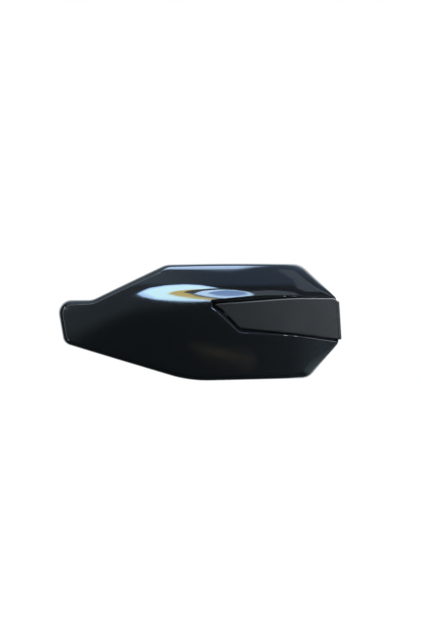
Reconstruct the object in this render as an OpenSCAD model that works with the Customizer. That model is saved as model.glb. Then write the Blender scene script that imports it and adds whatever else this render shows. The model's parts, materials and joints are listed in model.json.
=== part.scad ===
// Motorcycle hand guard for the left grip: a crowned gloss shell with a satin wedge insert,
// carried by a stepped steel stay on a two-piece handlebar clamp.
// Millimetres. X runs along the handlebar towards its free end, -Y faces the road ahead, +Z is up.
// The origin is the middle of the clamp's bore. The shell and the insert are drawn about a datum
// in the middle of the shell's face, at the foremost point of its crown.

/* [Clamp] */
// Diameter of the handlebar
bar_d = 22.2; // [22.2:0.1:25.4]
// Width of the clamp along the bar
clamp_w = 24; // [20:1:30]
// Wall of the clamp round the bar
clamp_wall = 6; // [5:0.5:8]
// Gap between the clamp's halves
clamp_gap = 1.5; // [1:0.25:3]
// Metal between the bar and each clamp screw
screw_wall = 4.4; // [3.5:0.1:6]
// Radius of the lug and of the stay's eye round the pivot bolt
lug_r = 10; // [9:0.5:11]
// Width of the lug along the bar
lug_w = 10; // [8:0.5:12]
// Gap between the stay's eye and the clamp's barrel
eye_gap = 1.5; // [1:0.25:4]

/* [Place of the shell] */
// Distance from the neck's tip outboard to the middle of the clamp
clamp_in = 39; // [36:1:42]
// Distance from the bar's axis forward to the stay's strip at the neck
stay_ahead = 52; // [50:0.5:60]
// Height of the shell's datum above the bar's axis
datum_up = 3; // [0:0.5:5]

/* [Shell outline] */
// Reach of the shell from its datum inboard to the tip of the neck
neck_reach = 140.6; // [134:0.2:148]
// Height of the neck's upper edge above the datum
neck_top = 21; // [18:0.5:24]
// Depth of the neck's lower corner below the datum
neck_bottom = 21.2; // [18:0.1:23]
// Length of the neck's level upper edge
neck_run = 36; // [30:1:42]
// Lean of the neck's end over its height
neck_rake = 7.5; // [4:0.5:10]
// Radius of the neck's upper corner
neck_corner_r = 12.5; // [8:0.5:13]
// Radius of the neck's lower corner
neck_heel_r = 9.5; // [6:0.5:10]
// Radius where the neck turns up into the shoulder
neck_bend_r = 18; // [12:1:30]
// Run of the slope from the top edge to the free end
upper_slope_run = 34.2; // [30:0.2:38]
// Radius where the shoulder meets the top edge
shoulder_r = 21; // [16:1:36]
// Height of the top edge above the datum
face_top = 55; // [50:0.5:60]
// Length of the top edge
top_run = 130; // [120:1:136]
// Rise of the top edge's middle above its ends
top_crown = 0.8; // [0.4:0.1:1.5]
// Rise of the top edge towards the free end
top_rise = 0.5; // [0:0.1:2]
// Radius of the upper outboard corner
upper_corner_r = 17; // [10:1:20]
// Depth of the bottom edge below the datum at its lowest corner
face_bottom = 57.3; // [51:0.1:61]
// Run of the slope from the bottom edge to the free end
lower_slope_run = 29; // [26:0.5:34]
// Radius of the bottom edge's lowest corner
keel_r = 125; // [90:5:140]
// Length of the bottom edge
bottom_run = 115; // [106:1:118]
// Rise of the bottom edge towards the free end
bottom_rise = 2.7; // [1:0.1:4]
// Radius of the lower outboard corner
lower_corner_r = 13; // [9:1:16]
// Radius of the corners under the insert's end
end_corner_r = 6; // [5.5:0.5:7]

/* [Shell section] */
// Wall of the shell
wall = 3; // [2.5:0.1:3.4]
// Radius of the crown along the bar
crown_r = 260; // [220:5:320]
// Distance from the datum outboard to the crown's foremost point
crown_x = 25; // [15:1:35]
// Height of the crest above the datum
crest_top = 28; // [24:0.5:32]
// Height of the crest above the datum at the neck
crest_neck = 4; // [0:0.5:8]
// Slope of the face above the crest
upper_slope = 0.78; // [0.6:0.01:0.9]
// Softness of the crest above it
upper_soft = 14; // [10:0.5:20]
// Slope of the face below the crest
lower_slope = 0.25; // [0.15:0.01:0.3]
// Softness of the crest below it
lower_soft = 30; // [20:1:40]
// Rounding of the shell's front edge
edge_round = 4.5; // [3.5:0.25:5]
// Rounding of the front edge on the two outboard slopes
slope_round = 9; // [6:0.5:10]
// Depth of the flange's rear edge behind the datum
flange_back = 30; // [28:1:36]
// Radius of the flange's rear edge in plan
flange_r = 300; // [270:5:340]
// Distance from the datum outboard to the middle of the rear edge's arc
flange_x = 26; // [20:1:30]

/* [Insert] */
// Thickness of the insert
insert_t = 2.6; // [2.2:0.1:3]
// Gap between the insert and the shell
insert_gap = 0.3; // [0.2:0.05:0.5]
// Sink of the insert's tip below the shell's face
insert_sink = 3.2; // [2.4:0.1:3.6]
// Rise of the insert's end above the shell's face
insert_proud = 0.8; // [0.2:0.1:1.5]
// Length of the leg that wraps the shell's free end
insert_leg = 9; // [7:0.5:11]
// Rounding of the insert's end
insert_end_r = 3.2; // [3.1:0.1:4]
// Width of the rounded border of the insert
insert_border = 1.7; // [1.2:0.1:2]
// Depth of the rounded border of the insert
insert_border_t = 1.4; // [1:0.1:1.8]
// Distance from the datum outboard to the insert's tip
tip_x = 14; // [8:0.5:18]
// Height of the insert's tip above the datum
tip_z = 16.5; // [15:0.5:18]
// Distance from the datum outboard to the insert's lower elbow
elbow_x = 38.6; // [34:0.2:46]
// Depth of the insert's lower elbow below the datum
elbow_z = 6.6; // [5:0.1:9]
// Distance from the datum outboard to the insert's end
insert_reach = 135.5; // [131:0.5:138]
// Height of the insert's upper edge above the datum
insert_top = 22.8; // [21.5:0.1:24]
// Depth of the insert's lower outboard corner below the datum
insert_bottom = 17.8; // [16.5:0.1:19]

/* [Fixings of the insert] */
// Distance from the insert's tip outboard to its first boss
peg_from_tip = 24; // [20:0.5:32]
// Distance from the insert's end inboard to its last boss
peg_from_end = 18; // [15:0.5:22]
// Radius of the bosses behind the insert
peg_r = 3.5; // [3.2:0.1:4]
// Radius of the screws that hold the insert
peg_screw_r = 1.75; // [1.5:0.05:1.95]
// Length of those screws under the head
peg_screw_l = 8; // [7:0.5:9]
// Rise of the shell's pads above its inner face
pad_rise = 3; // [2.8:0.1:3.6]
// Radius of the shell's pads
pad_r = 6.5; // [6:0.25:7]

/* [Stay] */
// Thickness of the steel strip
stay_t = 3; // [2.5:0.25:3.5]
// Height of the steel strip
stay_h = 22; // [20.5:0.5:23]
// Radius of the bends at the middle of the strip
stay_bend_r = 5; // [4:0.5:6]
// Distance from the shell's face back to the strip at the neck, at the middle and at the far end
face_to_stay = [15.9, 16.7, 16.7]; // [14:0.1:18]
// Distance from the neck's tip outboard to the three fixings
fixing_in = [47, 81, 133]; // [43:1:141]

/* [Fixings of the stay] */
// Radius of the shell's bosses
boss_r = 7; // [6.5:0.25:8]
// Radius of the threaded inserts
nut_r = 4; // [3.8:0.1:4.5]
// Length of the threaded inserts
nut_l = 7; // [6:0.5:7.5]
// Radius of the stay's bolts
bolt_r = 3; // [2.5:0.5:3]
// Length of the stay's bolts under the head
bolt_l = 14; // [13:0.5:14.5]
// Radius of the collars' bores
collar_bore_r = 3.2; // [3.15:0.05:3.4]
// Outer radius of the collars
collar_r = 4.5; // [4.2:0.1:4.8]
// Radius of the collars' flanges
collar_flange_r = 8; // [7.5:0.25:8.5]
// Thickness of the collars' flanges
collar_flange_t = 1.2; // [1:0.1:1.5]
// Thickness of each lip of the rubber grommets
lip_t = 1.8; // [1.5:0.1:2.2]
// Radius of the grommets' lips
lip_r = 8.5; // [8:0.25:8.75]
// Radius of the stay's holes, which the grommets' waists fill
waist_r = 6; // [5.6:0.1:6.5]

/* [Hidden] */
$fn = 48;
EPS = 0.01;

// Colours
gloss_black = [0.02, 0.023, 0.027];
satin_black = [0.06, 0.065, 0.07];
zinc = [0.62, 0.63, 0.62];
brass = [0.72, 0.56, 0.26];
rubber = [0.03, 0.03, 0.03];
coated_steel = [0.07, 0.07, 0.075];
cast_alloy = [0.16, 0.165, 0.17];

// Sampling of the curved surfaces
cols = 50;
rows = 12;
round_steps = 3;
arc_steps = 8;
insert_steps = 30;
elbow_steps = 8;

// Clamp and pivot, measured from the bar's axis
clamp_r = bar_d / 2 + clamp_wall;
clamp_bolt_r = 2.5;
clamp_screw_z = bar_d / 2 + screw_wall + clamp_bolt_r;
clamp_washer_r = 4.8;
ear_r = 5;
ear_front = 9;
// The rear ears are deep enough for the washers to clear the barrel
ear_back = sqrt(pow(clamp_r, 2) - pow(clamp_screw_z - clamp_washer_r - 0.4, 2));
pivot_r = 4;
pivot_ahead = clamp_r + eye_gap + stay_h / 2;

// Places along the bar, measured from the shell's datum
datum_out = neck_reach - clamp_in;
fixing_x = [for (d = fixing_in) d - neck_reach];

// General helpers
function unit(v) = v / norm(v);
function smooth(t) = let (c = min(1, max(0, t))) c * c * (3 - 2 * c);
function mix(a, b, t) = a + (b - a) * t;

// Points along the arc that rounds one corner of an outline
function corner_arc(before, corner, after, r) =
    let (u = unit(before - corner), w = unit(after - corner))
    let (half = acos(u * w) / 2, centre = corner + unit(u + w) * r / sin(half))
    let (from = corner + u * r / tan(half) - centre, to = corner + w * r / tan(half) - centre)
    let (a = atan2(from[1], from[0]), turn = (atan2(to[1], to[0]) - a + 540) % 360 - 180)
    [for (i = [0:arc_steps]) centre + r * [cos(a + turn * i / arc_steps), sin(a + turn * i / arc_steps)]];

// Corners are [x, z, radius]; a closed outline joins its last corner to its first
function place(corner) = [corner[0], corner[1]];
function closed_arcs(corners) =
    let (n = len(corners))
    [for (i = [0:n - 1])
        corner_arc(place(corners[(i + n - 1) % n]), place(corners[i]), place(corners[(i + 1) % n]),
            corners[i][2])];
function open_line(corners) =
    let (n = len(corners))
    [for (i = [0:n - 1])
        each i == 0 || i == n - 1 ? [place(corners[i])]
            : corner_arc(place(corners[i - 1]), place(corners[i]), place(corners[i + 1]), corners[i][2])];

// Points spaced evenly along a line of points, each as [x, z, inward normal x, inward normal z].
// The inward side is on the left of the line's direction.
function lengths(line, i = 0, sum = 0, out = []) =
    i == len(line) - 1 ? concat(out, sum)
        : lengths(line, i + 1, sum + norm(line[i + 1] - line[i]), concat(out, sum));
function segment_at(sums, s, i = 0) = i >= len(sums) - 2 || sums[i + 1] > s ? i : segment_at(sums, s, i + 1);
function spaced(line, n) =
    let (sums = lengths(line), total = sums[len(sums) - 1])
    [for (k = [0:n])
        let (s = total * k / n, i = segment_at(sums, s), span = max(EPS, sums[i + 1] - sums[i]))
        let (p = mix(line[i], line[i + 1], (s - sums[i]) / span), d = unit(line[i + 1] - line[i]))
        [p[0], p[1], -d[1], d[0]]];

// Form of the shell's face: depth behind the datum at a place on the face
function sag(x) = crown_r - sqrt(crown_r * crown_r - (x - crown_x) * (x - crown_x));
crest_turn_x = -50;
crest_turn_run = 90;
function crest_z(x) = mix(crest_top, crest_neck, smooth((crest_turn_x - x) / crest_turn_run));
function fall(s, slope, soft) = slope * (sqrt(s * s + soft * soft) - soft);
function face_y(x, z) =
    let (s = z - crest_z(x))
    sag(x) + (s > 0 ? fall(s, upper_slope, upper_soft) : fall(s, lower_slope, lower_soft));
function rear_y(x) = flange_back + flange_r - sqrt(flange_r * flange_r - (x - flange_x) * (x - flange_x));

// The strip stands behind the shell's face at each fixing, and the datum stands ahead of the strip
stay_z = -datum_up;
stay_depth = [for (i = [0:2]) face_y(fixing_x[i], stay_z) + face_to_stay[i]];
datum_ahead = stay_ahead + stay_depth[0];

// Rounding of the front edge: it grows along the two outboard slopes and is tight under the insert
slope_start_x = 80;
slope_full_x = 102;
slope_end_x = 112;
end_edge_round = 2.2;
function edge_r(x) =
    let (grow = smooth((x - slope_start_x) / (slope_full_x - slope_start_x)))
    let (shrink = smooth((x - slope_end_x) / (end_x_top - slope_end_x)))
    mix(mix(edge_round, slope_round, grow), end_edge_round, shrink);
round_power = 1.6;

// Free end of the shell: inside the leg of the insert
end_clear = insert_t + insert_gap;
insert_lean = 2.8;
end_x_top = insert_reach - insert_lean / 2 - end_clear;
end_x_bottom = insert_reach + insert_lean / 2 - end_clear;
top_end_x = end_x_top - upper_slope_run;
bottom_end_x = end_x_bottom - lower_slope_run;
top_crown_half = 36;
top_crown_r = top_crown_half * top_run / (2 * top_crown);
end_top_z = insert_top + 0.3;
end_bottom_z = -insert_bottom - 2.7;

// Outline of the shell, anticlockwise from the neck's lower corner
shell_corners = [
    [-neck_reach + neck_rake, -neck_bottom, neck_heel_r],
    [bottom_end_x - bottom_run, -face_bottom, keel_r],
    [bottom_end_x, -face_bottom + bottom_rise, lower_corner_r],
    [end_x_bottom, end_bottom_z, end_corner_r],
    [end_x_top, end_top_z, end_corner_r],
    [top_end_x, face_top + top_rise, upper_corner_r],
    [top_end_x - top_run / 2, face_top + top_rise / 2 + top_crown, top_crown_r],
    [top_end_x - top_run, face_top, shoulder_r],
    [-neck_reach + neck_run, neck_top, neck_bend_r],
    [-neck_reach, neck_top, neck_corner_r]
];
shell_arcs = closed_arcs(shell_corners);
half_arc = arc_steps / 2;
function late_half(arc) = [for (i = [half_arc:arc_steps]) arc[i]];
function early_half(arc) = [for (i = [0:half_arc]) arc[i]];
bottom_side = concat(late_half(shell_arcs[0]), shell_arcs[1], shell_arcs[2], early_half(shell_arcs[3]));
end_side = concat(late_half(shell_arcs[3]), early_half(shell_arcs[4]));
top_side = concat(late_half(shell_arcs[4]), shell_arcs[5], shell_arcs[6], shell_arcs[7], shell_arcs[8],
    early_half(shell_arcs[9]));
neck_side = concat(late_half(shell_arcs[9]), early_half(shell_arcs[0]));

// The outline as one ring of evenly spaced places, side after side
function without_last(list) = [for (i = [0:len(list) - 2]) list[i]];
ring = concat(without_last(spaced(bottom_side, cols)), without_last(spaced(end_side, rows)),
    without_last(spaced(top_side, cols)), without_last(spaced(neck_side, rows)));
ring_n = len(ring);

// One ring of the dome: inset is the distance inside the outline, angle runs from 90 on the side
// wall to 0 where the rounding meets the face
function ring_point(k, inset, angle) =
    let (p = ring[k], r = max(1, edge_r(p[0]) - inset))
    let (in = inset + r * (1 - pow(sin(angle), 2 / round_power)))
    let (x = p[0] + p[2] * in, z = p[1] + p[3] * in)
    [x, face_y(x, z) + inset + r * (1 - pow(cos(angle), 2 / round_power)), z];

// Index in the ring of a place on the border of the cols by rows patch
function border_index(i, j) =
    j == 0 ? i : i == cols ? cols + j : j == rows ? 2 * cols + rows - i : ring_n - j;

// Places inside the patch, blended from its four sides
function patch_point(edge, i, j, inset) =
    let (u = i / cols, v = j / rows)
    let (south = edge[border_index(i, 0)], north = edge[border_index(i, rows)])
    let (west = edge[border_index(0, j) % ring_n], east = edge[border_index(cols, j)])
    let (sw = edge[0], se = edge[cols], ne = edge[cols + rows], nw = edge[2 * cols + rows])
    let (p = mix(south, north, v) + mix(west, east, u) - mix(mix(sw, se, u), mix(nw, ne, u), v))
    [p[0], face_y(p[0], p[2]) + inset, p[2]];

// Solid behind the shell's face, back to a flat rear, all of it inset by one distance
module dome(inset, rear) {
    rings = [for (s = [0:round_steps])
        [for (k = [0:ring_n - 1]) ring_point(k, inset, 90 * (1 - s / round_steps))]];
    edge = rings[round_steps];
    back = [for (p = rings[0]) [p[0], rear, p[2]]];
    inner = [for (j = [1:rows - 1], i = [1:cols - 1]) patch_point(edge, i, j, inset)];
    layers = concat([back], rings);
    first_inner = len(layers) * ring_n;
    last = (len(layers) - 1) * ring_n;
    function index(i, j) = i == 0 || j == 0 || i == cols || j == rows
        ? last + border_index(i, j) % ring_n
        : first_inner + (j - 1) * (cols - 1) + i - 1;
    walls = [for (s = [0:len(layers) - 2], k = [0:ring_n - 1])
        let (a = s * ring_n + k, b = s * ring_n + (k + 1) % ring_n)
        each [[a, b + ring_n, b], [a, a + ring_n, b + ring_n]]];
    face = [for (j = [0:rows - 1], i = [0:cols - 1])
        each [[index(i, j), index(i + 1, j + 1), index(i + 1, j)],
            [index(i, j), index(i, j + 1), index(i + 1, j + 1)]]];
    cap = [[for (k = [0:ring_n - 1]) k]];
    polyhedron(points = concat([for (l = layers) each l], inner), faces = concat(walls, face, cap),
        convexity = 6);
}

// Solid between two grids of points of one size, the first of them in front
module between_grids(front, back) {
    m = len(front) - 1;
    n = len(front[0]) - 1;
    all = concat([for (c = front) each c], [for (c = back) each c]);
    far = (m + 1) * (n + 1);
    function at(i, j) = i * (n + 1) + j;
    skin = [for (i = [0:m - 1], j = [0:n - 1])
        each [[at(i, j), at(i, j + 1), at(i + 1, j + 1)], [at(i, j), at(i + 1, j + 1), at(i + 1, j)],
            [far + at(i, j), far + at(i + 1, j + 1), far + at(i, j + 1)],
            [far + at(i, j), far + at(i + 1, j), far + at(i + 1, j + 1)]]];
    loop = concat([for (i = [0:m - 1]) at(i, 0)], [for (j = [0:n - 1]) at(m, j)],
        [for (i = [m:-1:1]) at(i, n)], [for (j = [n:-1:1]) at(0, j)]);
    rim = [for (k = [0:len(loop) - 1])
        let (a = loop[k], b = loop[(k + 1) % len(loop)])
        each [[a, b, far + b], [a, far + b, far + a]]];
    polyhedron(points = all, faces = concat(skin, rim), convexity = 6);
}

// Outline of the insert: its upper and lower edges as heights over the distance outboard
insert_bend_x = 90;
insert_bend_r = 250;
lower_bend_x = 92;
lower_bend_z = mix(elbow_z, insert_bottom, 0.455);
insert_corner_r = 6;
insert_heel_r = 2.5;
tip_half = 0.6;
// The lower edge leaves the tip less steeply than it runs on to the elbow
tip_bend = [7, -5];
insert_corner_x = insert_reach - insert_lean / 2;
insert_heel_x = insert_reach + insert_lean / 2;
upper_line = open_line([
    [tip_x, tip_z + tip_half, 0], [insert_bend_x, insert_top, insert_bend_r],
    [insert_corner_x, insert_top, insert_corner_r], [insert_reach, insert_top - 2 * insert_corner_r, 0]
]);
lower_line = open_line([
    [tip_x, tip_z - tip_half, 0], [tip_x + tip_bend[0], tip_z + tip_bend[1], 10], [elbow_x, -elbow_z, 5],
    [lower_bend_x, -lower_bend_z, insert_bend_r], [insert_heel_x, -insert_bottom, insert_heel_r],
    [insert_heel_x - 0.2, -insert_bottom + 2 * insert_heel_r, 0]
]);
function upper_z(x) = lookup(x, upper_line);
function lower_z(x) = lookup(x, lower_line);

// The insert's face sinks at the tip and stands proud at the end
function sink(x) = mix(insert_sink, -insert_proud, (x - tip_x) / (insert_reach - tip_x));

// Outline of the pocket where it breaks through the shell's face, set out from the insert's outline
lip_tip = -2.8;
lip_tip_over = 3.1;
lip_tip_under = 1.9;
lip_bend = [-30, 1.7];
lip_end = 1.4;
lip_elbow = [-1.6, -3.6];
lip_lower_bend = -2;
lip_heel = -2.6;
pocket_overrun = 16;
pocket_out_x = insert_reach + pocket_overrun;
lip_upper = open_line([
    [tip_x + lip_tip, tip_z + lip_tip_over, 0],
    [insert_bend_x + lip_bend[0], insert_top + lip_bend[1], 120],
    [pocket_out_x, insert_top + lip_end, 0]
]);
lip_lower = open_line([
    [tip_x + lip_tip, tip_z - lip_tip_under, 0],
    [elbow_x + lip_elbow[0], -elbow_z + lip_elbow[1], 6],
    [lower_bend_x, -lower_bend_z + lip_lower_bend, insert_bend_r],
    [insert_heel_x, -insert_bottom + lip_heel, 40],
    [pocket_out_x, -insert_bottom + lip_heel - 2, 0]
]);

// Columns of the pocket: some up to the elbow, the rest from there to beyond the free end
function column_x(i, tip, elbow, out) =
    i <= elbow_steps ? mix(tip, elbow, i / elbow_steps)
        : mix(elbow, out, (i - elbow_steps) / (insert_steps - elbow_steps));
pocket_rows = 6;

// Tool that cuts the pocket; grow sets it out and back by the shell's wall for the inner face.
// Its sloping walls run on past the face by a share of their depth.
wall_overrun = 1.3;
pocket_front = 40;
module pocket(grow) {
    gap = insert_gap + grow;
    // Beyond the insert's rounded corner the pocket keeps its full height
    function high_z(x) = x > insert_bend_x ? insert_top : upper_z(x);
    function spot(i, j) =
        let (fi = max(1, i) - 1, share = min(1, max(0, (j - 1) / pocket_rows)))
        let (at_wall = i == 0 || j == 0 || j == pocket_rows + 2)
        let (floor_x = column_x(fi, tip_x - gap, elbow_x, pocket_out_x))
        let (floor_z = mix(lower_z(floor_x) - gap, high_z(floor_x) + gap, share))
        let (lip_x = column_x(fi, tip_x + lip_tip - grow, elbow_x + lip_elbow[0], pocket_out_x))
        let (lip_z = mix(lookup(lip_x, lip_lower) - grow, lookup(lip_x, lip_upper) + grow, share))
        let (x = at_wall ? mix(floor_x, lip_x, wall_overrun) : floor_x)
        let (z = at_wall ? mix(floor_z, lip_z, wall_overrun) : floor_z)
        let (floor_depth = sink(floor_x) + insert_t + gap)
        [x, face_y(x, z) + (at_wall ? mix(floor_depth, grow, wall_overrun) : floor_depth), z];
    back = [for (i = [0:insert_steps + 1]) [for (j = [0:pocket_rows + 2]) spot(i, j)]];
    front = [for (c = back) [for (p = c) [p[0], -pocket_front, p[2]]]];
    between_grids(front, back);
}

// Depth of the shell's inner face behind the insert, and of the pads on it
function inner_y(x, z) = face_y(x, z) + sink(x) + insert_t + insert_gap + wall;
peg_first_x = tip_x + peg_from_tip;
peg_last_x = insert_reach - peg_from_end;
peg_places = [for (x = [peg_first_x, (peg_first_x + peg_last_x) / 2, peg_last_x])
    [x, mix(lower_z(x), upper_z(x), 0.5)]];
function pad_y(p) = inner_y(p[0], p[1]) + pad_rise;

// A cylinder along Y from one depth to another
module rod(x, z, from, to, r) translate([x, from, z]) rotate([-90, 0, 0]) cylinder(r = r, h = to - from);

// Fixings of the stay: depth of the boss's end
function boss_end(i) = stay_depth[i] - lip_t - collar_flange_t;
gusset_t = 2;
gusset_reach = 8;
gusset_foot = 1;
gusset_drop = 1.5;
boss_root = 6;
nut_clear = 0.5;

module boss(i) {
    x = fixing_x[i];
    root = face_y(x, stay_z);
    rod(x, stay_z, root - boss_root, boss_end(i), boss_r);
    // Four gussets slope from below the boss's end down to the wall
    for (a = [45, 135, 225, 315]) hull() {
        translate([x, root - boss_root, stay_z]) rotate([0, a, 0]) translate([0, 0, -gusset_t / 2])
            cube([boss_r + gusset_reach, boss_root + wall + gusset_foot, gusset_t]);
        translate([x, root, stay_z]) rotate([0, a, 0]) translate([0, 0, -gusset_t / 2])
            cube([boss_r, boss_end(i) - root - gusset_drop, gusset_t]);
    }
}

// The shell is drawn back to a flat rear and then cut to its flange's curved edge
rear_depth = rear_y(-neck_reach) + 10;
module skin() {
    difference() {
        dome(0, rear_depth);
        pocket(0);
        difference() {
            dome(wall, rear_depth + 10);
            pocket(wall);
        }
    }
}

module outer_shell() {
    color(gloss_black) translate([datum_out, -datum_ahead, datum_up])
        difference() {
            union() {
                skin();
                intersection() {
                    difference() {
                        dome(wall / 2, rear_depth);
                        pocket(wall / 2);
                    }
                    union() {
                        for (i = [0:2]) boss(i);
                        for (p = peg_places) rod(p[0], p[1], face_y(p[0], p[1]), pad_y(p), pad_r);
                    }
                }
            }
            for (i = [0:2])
                rod(fixing_x[i], stay_z, boss_end(i) - nut_l - nut_clear, boss_end(i) + 1, nut_r);
            for (p = peg_places) rod(p[0], p[1], -edge_round, pad_y(p) + 1, peg_r + insert_gap);
            // Everything behind the flange's rear edge
            translate([flange_x, flange_back + flange_r, -face_top - face_bottom])
                cylinder(r = flange_r, h = 2 * (face_top + face_bottom), $fn = 240);
        }
}

// The insert: a skin that follows the face, turns round the free end and runs back as a leg
insert_rows = 8;
end_steps = 4;
function border_share(share) = 1 - sqrt(1 - share * share);
module insert_skin() {
    tip_cols = 2;
    total = tip_cols + insert_steps + end_steps + 1;
    turn_x = insert_reach - insert_end_r;
    function lean(z) = insert_lean * (0.5 - (z + insert_bottom) / (insert_top + insert_bottom));
    // Where a column stands: [distance outboard, depth past the turn, outward normal x, outward normal y]
    function column(i) =
        i <= tip_cols + insert_steps
            ? [i <= tip_cols ? mix(tip_x, tip_x + insert_border, i / tip_cols)
                : column_x(i - tip_cols, tip_x + insert_border, elbow_x, turn_x), 0, 0, -1]
            : i <= tip_cols + insert_steps + end_steps
                ? let (a = 90 * (i - tip_cols - insert_steps) / end_steps)
                    [turn_x + insert_end_r * sin(a), insert_end_r * (1 - cos(a)), sin(a), -cos(a)]
                : [turn_x + insert_end_r, insert_leg, 1, 0];
    function border_drop(i, j) =
        let (across = j <= 2 ? 1 - j / 2 : j >= insert_rows - 2 ? 1 - (insert_rows - j) / 2 : 0)
        let (along = i < tip_cols ? 1 - i / tip_cols : 0)
        insert_border_t * border_share(max(across, along));
    function spot(i, j, back) =
        let (c = column(i), x = min(c[0], insert_reach - insert_lean / 2 - 0.4))
        let (low = lower_z(x), high = upper_z(x), border = min(insert_border, 0.3 * (high - low)))
        let (z = j <= 2 ? low + border * j / 2
            : j >= insert_rows - 2 ? high - border * (insert_rows - j) / 2
            : mix(low + border, high - border, (j - 2) / (insert_rows - 4)))
        let (drop = back ? insert_t : border_drop(i, j))
        let (share = c[0] > elbow_x ? smooth((c[0] - lower_bend_x) / (turn_x - lower_bend_x)) : 0)
        let (shift = lean(z) * share, base_x = min(c[0], turn_x) + shift)
        [c[0] + shift - c[2] * drop, face_y(base_x, z) + sink(base_x) + c[1] - c[3] * drop, z];
    front = [for (i = [0:total]) [for (j = [0:insert_rows]) spot(i, j, false)]];
    back = [for (i = [0:total]) [for (j = [0:insert_rows]) spot(i, j, true)]];
    between_grids(front, back);
}

peg_gap = 0.3;
peg_skin = 1.1;
peg_bore_clear = 0.05;
module matte_insert() {
    color(satin_black) translate([datum_out, -datum_ahead, datum_up])
        difference() {
            union() {
                insert_skin();
                for (p = peg_places) rod(p[0], p[1], peg_root(p), pad_y(p) - peg_gap, peg_r);
            }
            for (p = peg_places)
                rod(p[0], p[1], peg_root(p) + peg_skin - insert_t / 2, pad_y(p), peg_screw_r + peg_bore_clear);
        }
}
function peg_root(p) = face_y(p[0], p[1]) + sink(p[0]) + insert_t / 2;

// Small hardware, drawn about the Z axis with the head up at +Z
peg_head_r = 3.6;
peg_head_h = 2.4;
peg_washer_t = 1;
peg_washer_r = 5.5;
module pan_screw(r, l, head_r, head_h) {
    difference() {
        union() {
            translate([0, 0, -l]) cylinder(r = r, h = l);
            intersection() {
                cylinder(r = head_r, h = head_h);
                translate([0, 0, head_h - 2.4 * head_r]) sphere(r = 2.4 * head_r, $fn = 64);
            }
        }
        // Cross recess
        for (a = [0, 90]) rotate(a) translate([-head_r / 2, -0.5, head_h / 2]) cube([head_r, 1, head_h]);
    }
}
module washer(r, bore_r, t) difference() {
    cylinder(r = r, h = t);
    translate([0, 0, -1]) cylinder(r = bore_r, h = t + 2);
}
module hex_head(across, h) intersection() {
    cylinder(r = across / sqrt(3), h = h, $fn = 6);
    // Chamfer of the hexagon's top corners
    cylinder(r1 = across / 2 + h, r2 = across / 2 - 0.15, h = h + EPS, $fn = 64);
}
module flange_bolt(r, l, across, head_h, flange_r, flange_t) {
    translate([0, 0, -l]) cylinder(r = r, h = l);
    cylinder(r1 = flange_r, r2 = across / 2, h = flange_t);
    hex_head(across, head_h);
}

// Lays hardware along Y at a place on the face, with its head behind
module laid(x, y, z) translate([datum_out + x, y - datum_ahead, datum_up + z]) rotate([-90, 0, 0]) children();

module insert_screw(i) {
    p = peg_places[i];
    color(zinc) laid(p[0], pad_y(p) + peg_washer_t, p[1])
        pan_screw(peg_screw_r, peg_screw_l, peg_head_r, peg_head_h);
}
module insert_washer(i) {
    p = peg_places[i];
    color(zinc) laid(p[0], pad_y(p), p[1]) washer(peg_washer_r, peg_screw_r + 0.35, peg_washer_t);
}
thread_clear = 0.05;
module boss_nut(i) color(brass) laid(fixing_x[i], boss_end(i) - nut_l, stay_z)
    difference() {
        cylinder(r = nut_r - 0.02, h = nut_l);
        translate([0, 0, -1]) cylinder(r = bolt_r + thread_clear, h = nut_l + 2);
        // Grooves between the two knurled bands
        translate([0, 0, nut_l / 2 - 0.5]) washer(nut_r + 1, nut_r - 0.5, 1);
    }
sleeve_l = stay_t + 2 * lip_t;
module stay_collar(i) color(zinc) laid(fixing_x[i], boss_end(i), stay_z)
    difference() {
        union() {
            cylinder(r = collar_flange_r, h = collar_flange_t);
            cylinder(r = collar_r, h = collar_flange_t + sleeve_l);
        }
        translate([0, 0, -1]) cylinder(r = collar_bore_r, h = collar_flange_t + sleeve_l + 2);
    }
module stay_grommet(i) color(rubber) laid(fixing_x[i], boss_end(i) + collar_flange_t, stay_z)
    difference() {
        union() {
            cylinder(r = lip_r, h = lip_t);
            cylinder(r = waist_r, h = sleeve_l);
            translate([0, 0, lip_t + stay_t]) cylinder(r = lip_r, h = lip_t);
        }
        translate([0, 0, -1]) cylinder(r = collar_r + 0.02, h = sleeve_l + 2);
    }
bolt_across = 8;
bolt_head_h = 6;
bolt_flange_r = 6.7;
bolt_flange_t = 1.4;
module stay_bolt(i) color(zinc) laid(fixing_x[i], boss_end(i) + collar_flange_t + sleeve_l, stay_z)
    flange_bolt(bolt_r, bolt_l, bolt_across, bolt_head_h, bolt_flange_r, bolt_flange_t);

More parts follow.
